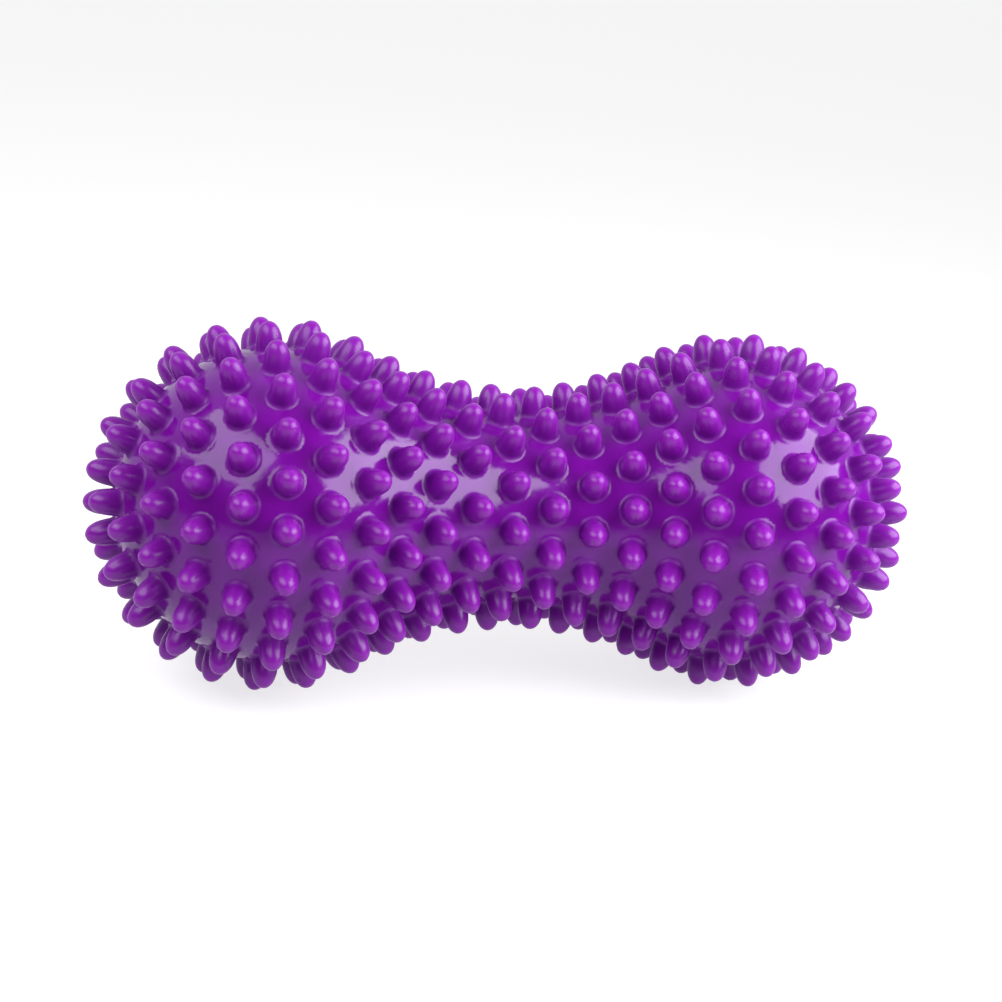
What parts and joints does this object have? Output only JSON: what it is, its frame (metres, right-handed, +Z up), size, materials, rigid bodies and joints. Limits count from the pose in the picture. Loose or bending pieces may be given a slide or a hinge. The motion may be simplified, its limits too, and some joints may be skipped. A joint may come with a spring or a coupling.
{
  "type": "massage ball",
  "caption": "Peanut-shaped hollow massage ball with two round lobes and a narrower waist, covered in blunt spikes, with a push-in air valve in one end.",
  "frame": {"origin": "on the ball's long axis at the middle of the waist, which is the whole ball's centre of mass to within 1 mm", "axes": "+X along the long axis towards the valve, +Z up, and -Y towards the front"},
  "size_m": [0.1612, 0.0718, 0.0718],
  "materials": {
    "purple_pvc": "glossy soft PVC, dyed through",
    "milky_rubber": "smooth, slightly translucent",
    "violet_stopper": "satin"
  },
  "bodies": {
    "ball": {"spiked_skin": "purple_pvc", "valve_seat": "milky_rubber"},
    "plug": {"valve_plug": "violet_stopper"}
  },
  "joints": [
    {"name": "plug_pull", "type": "slide", "parent": "ball", "child": "plug", "axis": [1, 0, 0], "range_m": [0, 0.014]}
  ]
}
